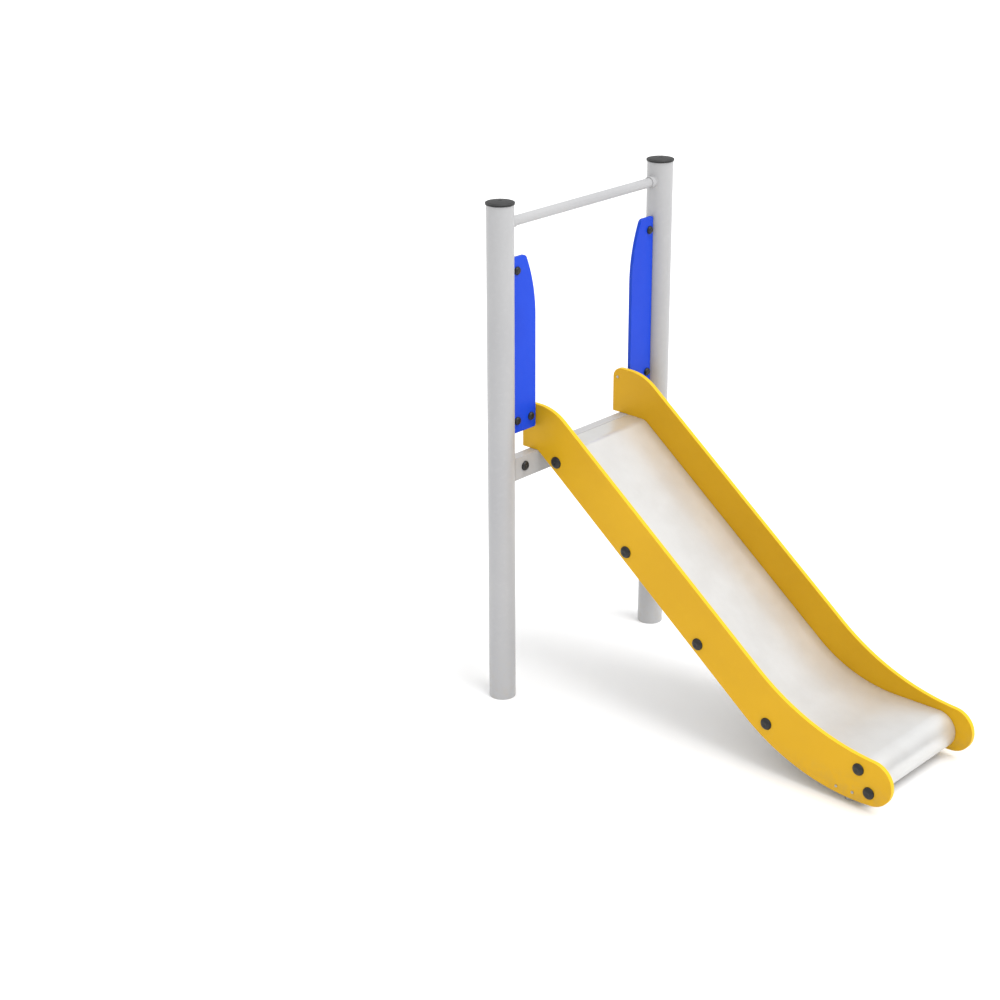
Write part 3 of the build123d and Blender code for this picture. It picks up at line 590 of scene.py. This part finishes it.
underCentre, underStart, underEnd = edgeArc(
    board["underRadius"] - board["below"], board["underRadius"] - board["tipRadius"],
    board["underRadius"], -board["below"],
)
overCentre, overStart, overEnd = edgeArc(
    board["overRadius"] + board["above"], board["overRadius"] + board["tipRadius"],
    board["overRadius"], board["above"],
)
topCornerX = slide["lipLength"] + (lipZ + board["above"] / cos(slope) - topZ) / tan(slope)
crestX = topCornerX - board["crestRadius"] * bendShift
stepX = slide["lipLength"] - board["below"] / sin(slope)
rearRadius = board["rearRadius"]
for sideName, side in sides.items():
    pen = Pen(
        sideName + "Board", (postX, side * boardInner, 0), (1, 0, 0), (0, 0, 1), (rearX, lipZ)
    )
    pen.line((rearX, topZ - rearRadius))
    pen.arc((rearX + rearRadius, topZ - rearRadius), -90, board["rearSteps"])
    pen.line((crestX, topZ))
    pen.arc((crestX, topZ - board["crestRadius"]), -slide["slope"], board["crestSteps"])
    pen.line(overStart)
    pen.arcTo(overCentre, overEnd, board["overSteps"], False)
    pen.arcTo(tip, underEnd, board["tipSteps"], True)
    pen.arcTo(underCentre, underStart, board["underSteps"], True)
    pen.line((stepX, lipZ), (rearX, lipZ))
    pen.fill()
    piece = pen.push((0, side * (boardOuter - boardInner), 0))
    tidyShell(piece)
    roundRims(piece, board["rim"], board["rimSteps"])
    smooth(piece)
    handOver(piece, yellowBoard, "yellow_board", sideName + "_side_board")
print("side boards made")

chute = {
    "sheet": 0.0025, "sideFlange": 0.040, "rearFlange": 0.065, "rearFold": 0.006,
    "sideFold": 0.004, "flangeInset": 0.0445, "crestSteps": 10, "runoutSteps": 48, "rollSteps": 44,
    "foldSteps": 6, "sideFoldSteps": 5, "sideGap": 0.0003, "foldAngle": 60, "smoothAngle": 32,
}
flangeX = stepX + chute["sideFlange"] / tan(slope)  # the flanges start where the boards hide them


def chuteChain(name, y, depth):
    # one edge of the sheet at a depth under the sliding surface, from the lip to the roll's end
    shift = depth * bendShift
    crest = max(slide["crestRadius"] - depth, chute["rearFold"])
    bend = slide["runoutRadius"] + depth
    pen = Pen(name, (postX, y, 0), (1, 0, 0), (0, 0, 1), (flangeX, lipZ - depth))
    crestStartX = slide["lipLength"] - shift - crest * bendShift
    pen.line((crestStartX, lipZ - depth))
    pen.arc((crestStartX, lipZ - depth - crest), -slide["slope"], chute["crestSteps"])
    bendCentre = (runoutX, slide["exitHeight"] + slide["runoutRadius"])
    bendStart = (bendCentre[0] - bend * sin(slope), bendCentre[1] - bend * cos(slope))
    pen.line(bendStart)
    pen.arc(bendCentre, slide["slope"], chute["runoutSteps"])
    pen.line((rollX, slide["exitHeight"] - depth))
    pen.arc((rollX, rollZ), -slide["rollSweep"], chute["rollSteps"])
    bpy.ops.object.mode_set(mode="OBJECT")
    return pen.piece


def bridge(parts, name):
    # joins neighbouring edge lines with a strip of faces
    clearSelection()
    for part in parts:
        part.select_set(True)
    bpy.context.view_layer.objects.active = parts[0]
    bpy.ops.object.join()
    piece = bpy.context.object
    piece.name = name
    bpy.ops.object.mode_set(mode="EDIT")
    bpy.ops.mesh.select_all(action="SELECT")
    bpy.ops.mesh.bridge_edge_loops()
    bpy.ops.object.mode_set(mode="OBJECT")
    return piece


halfWidth = boardInner - chute["sideGap"]
strips = []
for firstY, firstDepth, lastY, lastDepth in (
    (-halfWidth, chute["sideFlange"], -halfWidth, 0.0),
    (-halfWidth, 0.0, halfWidth, 0.0),
    (halfWidth, 0.0, halfWidth, chute["sideFlange"]),
):
    first = chuteChain("chuteEdge", firstY, firstDepth)
    last = chuteChain("chuteEdge", lastY, lastDepth)
    strips.append(bridge((first, last), "chuteStrip"))
clearSelection()
for strip in strips:
    strip.select_set(True)
bpy.context.view_layer.objects.active = strips[1]
bpy.ops.object.join()
slideChute = bpy.context.object
slideChute.name = "slideChute"
openMesh(slideChute)
bpy.ops.mesh.remove_doubles(threshold=join["gap"])
flangeHalf = boardInner - chute["flangeInset"]
for side in sides.values():
    bpy.ops.mesh.select_all(action="SELECT")
    bpy.ops.mesh.bisect(plane_co=(0, side * flangeHalf, 0), plane_no=(0, 1, 0))
bpy.ops.mesh.select_all(action="DESELECT")
bpy.ops.object.mode_set(mode="OBJECT")
foldX = postX + lipX + chute["rearFold"]
for edge in slideChute.data.edges:
    ends = [slideChute.data.vertices[index].co for index in edge.vertices]
    edge.select = all(
        abs(end.x - postX - flangeX) < join["near"] and end.z > lipZ - join["near"]
        for end in ends
    )
bpy.ops.object.mode_set(mode="EDIT")
bpy.ops.mesh.select_mode(type="EDGE")
bpy.ops.mesh.extrude_region_move(
    TRANSFORM_OT_translate={"value": (lipX + chute["rearFold"] - flangeX, 0, 0)}
)
bpy.ops.mesh.spin(
    steps=chute["foldSteps"], angle=pi / 2, center=(foldX, 0, lipZ - chute["rearFold"]),
    axis=(0, 1, 0),
)
bpy.ops.object.mode_set(mode="OBJECT")
for edge in slideChute.data.edges:
    ends = [slideChute.data.vertices[index].co for index in edge.vertices]
    edge.select = edge.select and all(abs(end.y) < flangeHalf + join["near"] for end in ends)
bpy.ops.object.mode_set(mode="EDIT")
bpy.ops.mesh.extrude_region_move(
    TRANSFORM_OT_translate={"value": (0, 0, chute["rearFold"] - chute["rearFlange"])}
)
bpy.ops.mesh.select_mode(type="VERT")
bpy.ops.object.mode_set(mode="OBJECT")
tidyShell(slideChute)
facingUp = sum(face.normal.z * face.area for face in slideChute.data.polygons)
if facingUp < 0:
    openMesh(slideChute)
    bpy.ops.mesh.flip_normals()
    bpy.ops.object.mode_set(mode="OBJECT")
roundRims(slideChute, chute["sideFold"], chute["sideFoldSteps"], chute["foldAngle"])
useModifier(slideChute, "SOLIDIFY", thickness=chute["sheet"], offset=-1, use_even_offset=True)
smooth(slideChute, chute["smoothAngle"])
handOver(slideChute, stainlessChute, "stainless_chute", "chute")
print("chute made")

guard = {
    "taperRadius": 0.585, "straight": 0.433, "topRadius": 0.020, "corner": 0.008,
    "taperSteps": 24, "topSteps": 12, "cornerSteps": 8,
}
for sideName, side in sides.items():
    guardLow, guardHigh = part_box(sideName + "_guard")
    innerY = min(abs(guardLow.y), abs(guardHigh.y))
    outerY = max(abs(guardLow.y), abs(guardHigh.y))
    bottomZ = guardLow.z
    topEdgeZ = guardHigh.z
    corner = guard["corner"]
    taperCentre = (innerY + guard["taperRadius"], bottomZ + guard["straight"])
    topReach = guard["taperRadius"] - guard["topRadius"]
    topRise = topEdgeZ - guard["topRadius"] - taperCentre[1]
    topCentre = (taperCentre[0] - sqrt(topReach ** 2 - topRise ** 2), taperCentre[1] + topRise)
    share = guard["taperRadius"] / topReach
    meeting = tuple(taperCentre[i] + share * (topCentre[i] - taperCentre[i]) for i in (0, 1))
    pen = Pen(
        sideName + "Guard", (guardLow.x, 0, 0), (0, side, 0), (0, 0, 1),
        (innerY, bottomZ + corner),
    )
    pen.line((innerY, taperCentre[1]))
    pen.arcTo(taperCentre, meeting, guard["taperSteps"], True)
    pen.arcTo(topCentre, (topCentre[0], topEdgeZ), guard["topSteps"], True)
    pen.line((outerY - corner, topEdgeZ))
    pen.arc((outerY - corner, topEdgeZ - corner), -90, guard["cornerSteps"])
    pen.line((outerY, bottomZ + corner))
    pen.arc((outerY - corner, bottomZ + corner), -90, guard["cornerSteps"])
    pen.line((innerY + corner, bottomZ))
    pen.arc((innerY + corner, bottomZ + corner), -90, guard["cornerSteps"])
    pen.fill()
    piece = pen.push((guardHigh.x - guardLow.x, 0, 0))
    tidyShell(piece)
    roundRims(piece, board["rim"], board["rimSteps"])
    smooth(piece)
    handOver(piece, blueGuard, "blue_guard", sideName + "_guard")
print("guards made")

post = {"wall": 0.003, "sides": 96}
lid = {  # the posts' caps
    "rim": 0.007, "dome": 0.005, "plugWall": 0.004, "fit": 0.0002, "lift": 0.0001,
    "softEdge": 0.0008, "rimRadius": 0.0014, "rimSweep": 80, "rimSteps": 6, "sides": 96,
    "groove": 0.046, "grooveHalf": 0.0016, "grooveFloor": 0.0007, "grooveDepth": 0.0009,
    "domeSteps": 8, "domeStep": 0.0052, "dimple": 0.0075, "dimpleSlope": 0.0016,
    "dimpleDepth": 0.0012, "smoothAngle": 28,
}
capLow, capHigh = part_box("left_post_cap")
capRadius = (capHigh.x - capLow.x) / 2
domeRadius = (capRadius ** 2 + lid["dome"] ** 2) / (2 * lid["dome"])
plugRadius = postRadius - post["wall"] - lid["fit"]
rimZ = postHigh.z + lid["rim"]
lidBase = postHigh.z + lid["lift"]
domeCentreZ = capHigh.z - domeRadius
dimpleZ = capHigh.z - lid["dimpleDepth"]


def onDome(reach):
    return (reach, domeCentreZ + sqrt(domeRadius ** 2 - reach ** 2))


for sideName, side in sides.items():
    foot = (postX, side * postY, postLow.z)
    top = (postX, side * postY, postHigh.z)
    piece = tube(sideName + "Post", foot, top, postRadius, post["wall"], post["sides"])
    handOver(piece, greyPaint, "grey_paint", sideName + "_post")

    pen = Pen(
        sideName + "PostCap", (postX, side * postY, 0), (1, 0, 0), (0, 0, 1),
        (plugRadius - lid["plugWall"], postHigh.z - lid["fit"]),
    )
    pen.line(
        (plugRadius - lid["plugWall"], capLow.z),
        (plugRadius - lid["softEdge"], capLow.z),
        (plugRadius, capLow.z + lid["softEdge"]),
        (plugRadius, lidBase),
        (capRadius - lid["softEdge"], lidBase),
        (capRadius, lidBase + lid["softEdge"]),
        (capRadius, rimZ - lid["rimRadius"]),
    )
    pen.arc(
        (capRadius - lid["rimRadius"], rimZ - lid["rimRadius"]), lid["rimSweep"], lid["rimSteps"]
    )
    pen.line(onDome(lid["groove"] + lid["grooveHalf"]))
    grooveX, grooveZ = onDome(lid["groove"])
    pen.line(
        (grooveX + lid["grooveFloor"], grooveZ - lid["grooveDepth"]),
        (grooveX - lid["grooveFloor"], grooveZ - lid["grooveDepth"]),
    )
    for step in range(lid["domeSteps"]):
        pen.line(onDome(lid["groove"] - lid["grooveHalf"] - step * lid["domeStep"]))
    pen.line((lid["dimple"] - lid["dimpleSlope"], dimpleZ), (0, dimpleZ))
    piece = pen.lathe(lid["sides"])
    openMesh(piece, "DESELECT")
    bpy.ops.mesh.select_non_manifold()
    bpy.ops.mesh.edge_face_add()
    bpy.ops.object.mode_set(mode="OBJECT")
    tidyShell(piece)
    smooth(piece, lid["smoothAngle"])
    handOver(piece, blackPlastic, "black_plastic", sideName + "_post_cap")

bar = {
    "sides": 72, "wall": 0.0025, "weld": 0.0022, "fit": 0.0002, "mouthRim": 0.0009,
    "weldSteps": 56, "weldReach": 0.0008,
}
barLow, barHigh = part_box("grab_bar")
barZ = (barLow.z + barHigh.z) / 2
barRadius = (barHigh.z - barLow.z) / 2
grabBar = tube(
    "grabBar", (postX, barLow.y, barZ), (postX, barHigh.y, barZ), barRadius, bar["wall"],
    bar["sides"],
)
handOver(grabBar, greyPaint, "grey_paint", "grab_bar")


def onPost(x, z):
    # point on a post's skin that faces the slide, at a distance x along the slide
    return (postX + x, postY - sqrt(postRadius ** 2 - x ** 2), z)


def mirrored(point, side):
    return (point[0], side * point[1], point[2])


for sideName, side in sides.items():
    socketLow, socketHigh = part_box(sideName + "_bar_socket")
    socketRadius = (socketHigh.z - socketLow.z) / 2
    mouthY = min(abs(socketLow.y), abs(socketHigh.y))
    rootY = onPost(socketRadius, 0)[1]
    piece = tube(
        sideName + "BarSocket", (postX, side * mouthY, barZ), (postX, side * rootY, barZ),
        socketRadius, socketRadius - barRadius - bar["fit"], bar["sides"], bar["mouthRim"],
    )
    handOver(piece, greyPaint, "grey_paint", sideName + "_bar_socket")
    ring = []
    reach = socketRadius + bar["weldReach"]
    for step in range(bar["weldSteps"]):
        angle = 2 * pi * step / bar["weldSteps"]
        ring.append(mirrored(onPost(reach * cos(angle), barZ + reach * sin(angle)), side))
    piece = bead(sideName + "SocketWeld", ring, bar["weld"])
    handOver(piece, paintedWeld, "grey_paint")
print("posts, caps and grab bar made")


plates = {"lugHeight": 0.040, "weld": 0.0024, "reach": 0.0006}


def plateWeld(name, low, high, side):
    # closed bead round a plate's foot on the post
    backX = low.x - postX - plates["reach"]
    frontX = high.x - postX + plates["reach"]
    loop = [
        onPost(backX, low.z), onPost(backX, (low.z + high.z) / 2), onPost(backX, high.z),
        onPost(frontX, high.z), onPost(frontX, (low.z + high.z) / 2), onPost(frontX, low.z),
    ]
    return bead(name, [mirrored(point, side) for point in loop], plates["weld"])


for sideName, side in sides.items():
    low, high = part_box(sideName + "_beam_bracket")
    piece = plateWeld(sideName + "TongueWeld", low, high, side)
    handOver(piece, paintedWeld, "grey_paint")
    low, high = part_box(sideName + "_guard_lugs")
    for place, centreZ in (
        ("Low", low.z + plates["lugHeight"] / 2), ("High", high.z - plates["lugHeight"] / 2)
    ):
        lugLow = Vector((low.x, low.y, centreZ - plates["lugHeight"] / 2))
        lugHigh = Vector((high.x, high.y, centreZ + plates["lugHeight"] / 2))
        piece = plateWeld(sideName + "LugWeld" + place, lugLow, lugHigh, side)
        handOver(piece, paintedWeld, "grey_paint")
print("welds made")

tubes = {"count": 6, "sides": 48, "wall": 0.0025}
tubePlaces = []
for number in range(1, tubes["count"] + 1):
    name = "cross_tube_" + str(number)
    low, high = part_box(name)
    middle = (low + high) / 2
    tubePlaces.append(middle)
    piece = tube(
        "crossTube" + str(number), (middle.x, low.y, middle.z), (middle.x, high.y, middle.z),
        (high.z - low.z) / 2, tubes["wall"], tubes["sides"],
    )
    handOver(piece, galvanisedSteel, "galvanised_steel", name)

leg = {"sides": 64, "wall": 0.003, "weld": 0.0022, "weldSteps": 40, "weldInset": 0.0062}
for sideName, side in sides.items():
    low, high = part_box(sideName + "_anchor_leg")
    middle = (low + high) / 2
    radius = (high.x - low.x) / 2
    piece = tube(
        sideName + "AnchorLeg", (middle.x, middle.y, low.z), (middle.x, middle.y, high.z), radius,
        leg["wall"], leg["sides"],
    )
    handOver(piece, galvanisedSteel, "galvanised_steel", sideName + "_anchor_leg")
    ring = []
    for step in range(leg["weldSteps"]):
        angle = 2 * pi * step / leg["weldSteps"]
        ring.append((middle.x + radius * cos(angle), middle.y + radius * sin(angle), high.z))
    ring = [point for point in ring if abs(point[1]) < boardInner - leg["weldInset"]]
    piece = bead(sideName + "LegWeld", ring, leg["weld"], len(ring) == leg["weldSteps"])
    handOver(piece, galvanisedSteel, "galvanised_steel")
print("cross tubes and legs made")

cap = {
    "seatHeight": 0.003, "gap": 0.0002, "wall": 0.002, "headGap": 0.001, "softEdge": 0.0003,
    "sideShare": 0.8, "dimpleShare": 0.32, "dimple": 0.0012, "domeSteps": 12, "sides": 48,
    "dimpleRim": ((0.0006, 0.00025), (0.0012, 0.0008)), "dimpleSlope": 0.002, "smoothAngle": 40,
}


def capMaster(name, seatDiameter, headDiameter, headHeight):
    # domed cap, hollow over its seat and its bolt's head
    seatRadius = seatDiameter / 2 + cap["gap"]
    radius = seatRadius + cap["wall"]
    headRadius = headDiameter / 2 + cap["headGap"]
    seatTop = cap["seatHeight"] + cap["gap"]
    headTop = cap["seatHeight"] + headHeight + cap["gap"]
    height = headTop + cap["dimple"] + cap["wall"]
    sideHeight = cap["seatHeight"] * cap["sideShare"]
    dimpleReach = radius * cap["dimpleShare"]
    rise = height - sideHeight
    run = radius - dimpleReach
    domeReach = (run ** 2 + rise ** 2) / (2 * rise)
    pen = Pen(name, (0, 0, 0), (1, 0, 0), (0, 0, 1), (0, headTop))
    pen.line(
        (headRadius, headTop), (headRadius, seatTop), (seatRadius, seatTop), (seatRadius, 0),
        (radius - cap["softEdge"], 0), (radius, cap["softEdge"]), (radius, sideHeight),
    )
    pen.arcTo((dimpleReach, height - domeReach), (dimpleReach, height), cap["domeSteps"], False)
    for inset, drop in cap["dimpleRim"]:
        pen.line((dimpleReach - inset, height - drop))
    floorHeight = height - cap["dimple"]
    pen.line((dimpleReach - cap["dimpleSlope"], floorHeight), (0, floorHeight))
    piece = pen.lathe(cap["sides"])
    smooth(piece, cap["smoothAngle"])
    return piece


guardLow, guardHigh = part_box("left_guard")
beamCapLow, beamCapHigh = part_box("beam_bolt_caps")
bolts = {  # caps by their seat's diameter, their bolt head's diameter and its height
    "sideCap": (0.0416, 0.020, 0.0055), "beamCap": (0.0336, 0.018, 0.0050),
    "guardCap": (0.0276, 0.014, 0.0044),
    "guardOuter": 0.0227, "guardInner": 0.0287, "guardLow": 0.048, "guardHigh": 0.051,
    "beamRadius": 0.019,
}
sideMaster = capMaster("sideCapMaster", *bolts["sideCap"])
beamMaster = capMaster("beamCapMaster", *bolts["beamCap"])
guardMaster = capMaster("guardCapMaster", *bolts["guardCap"])
lowBoltZ = guardLow.z + bolts["guardLow"]
highBoltZ = guardHigh.z - bolts["guardHigh"]
outerBoltY = guardHigh.y - bolts["guardOuter"]
innerBoltY = guardLow.y + bolts["guardInner"]
beamBoltZ = (beamCapLow.z + beamCapHigh.z) / 2
beamBoltY = beamCapHigh.y - bolts["beamRadius"]
for sideName, side in sides.items():
    for number, middle in enumerate(tubePlaces, start=1):
        place = (middle.x, side * boardOuter, middle.z)
        piece = copyTo(sideMaster, sideName + "SideCap" + str(number), place, (0, side, 0))
        handOver(piece, blackPlastic, "black_plastic", "side_bolt_caps")
    piece = copyTo(
        beamMaster, sideName + "BeamCap", (beamHigh.x, side * beamBoltY, beamBoltZ), (1, 0, 0)
    )
    handOver(piece, blackPlastic, "black_plastic", "beam_bolt_caps")
    for number, (y, z) in enumerate(
        ((outerBoltY, lowBoltZ), (innerBoltY, lowBoltZ), (outerBoltY, highBoltZ)), start=1
    ):
        piece = copyTo(
            guardMaster, sideName + "GuardCap" + str(number), (guardHigh.x, side * y, z), (1, 0, 0)
        )
        handOver(piece, blackPlastic, "black_plastic", "guard_bolt_caps")
for master in (sideMaster, beamMaster, guardMaster):
    bpy.data.objects.remove(master)
print("bolt caps made")

studio = {
    "floorSize": 60.0, "zenith": 1.16, "horizon": 0.58, "skyStrength": 1.0,
    "zenithAt": 0.75, "keyPlace": (4.2, 0.6, 7.4), "keyAim": (0, 0, 0.6), "keySpread": 40.0,
    "keyPower": 1.8,
}
clearSelection()
bpy.ops.mesh.primitive_plane_add(size=studio["floorSize"], location=(0, 0, cadBounds[0].z))
floor = bpy.context.object
floor.name = "studioFloor"
bpy.ops.object.transform_apply(location=True, rotation=True, scale=True)
floor.data.materials.append(paleFloor.material)

world = bpy.data.worlds.new("studioSky")
bpy.context.scene.world = world
world.use_nodes = True
skyTree = world.node_tree
sky = skyTree.nodes["Background"]
skySpot = skyTree.nodes.new("ShaderNodeTexCoord")
skyAxes = skyTree.nodes.new("ShaderNodeSeparateXYZ")
skyRamp = skyTree.nodes.new("ShaderNodeValToRGB")
skyRamp.color_ramp.elements[0].position = 0.0
skyRamp.color_ramp.elements[0].color = (studio["horizon"],) * 3 + (1,)
skyRamp.color_ramp.elements[1].position = studio["zenithAt"]
skyRamp.color_ramp.elements[1].color = (studio["zenith"],) * 3 + (1,)
skyTree.links.new(skySpot.outputs["Generated"], skyAxes.inputs[0])
skyTree.links.new(skyAxes.outputs[2], skyRamp.inputs[0])
skyTree.links.new(skyRamp.outputs[0], sky.inputs["Color"])
sky.inputs["Strength"].default_value = studio["skyStrength"]

bpy.ops.object.light_add(type="SUN", location=studio["keyPlace"])
key = bpy.context.object
key.name = "keyLight"
key.data.angle = radians(studio["keySpread"])
key.data.energy = studio["keyPower"]
aim = Vector(studio["keyAim"]) - key.location
key.rotation_euler = aim.to_track_quat("-Z", "Y").to_euler()

view = {
    "place": (postX + 4.9356, -5.8733, 3.7763), "turn": (68.352, 0.237, 42.119), "lens": 75.69,
    "shift": (-0.0064, -0.0131), "sensor": 36.0,
}
bpy.ops.object.camera_add(
    location=view["place"], rotation=[radians(angle) for angle in view["turn"]]
)
camera = bpy.context.object
camera.data.lens = view["lens"]
camera.data.sensor_width = view["sensor"]
camera.data.shift_x, camera.data.shift_y = view["shift"]
bpy.context.scene.camera = camera
bpy.context.scene.view_settings.view_transform = "Standard"
print("floor, light and camera made")
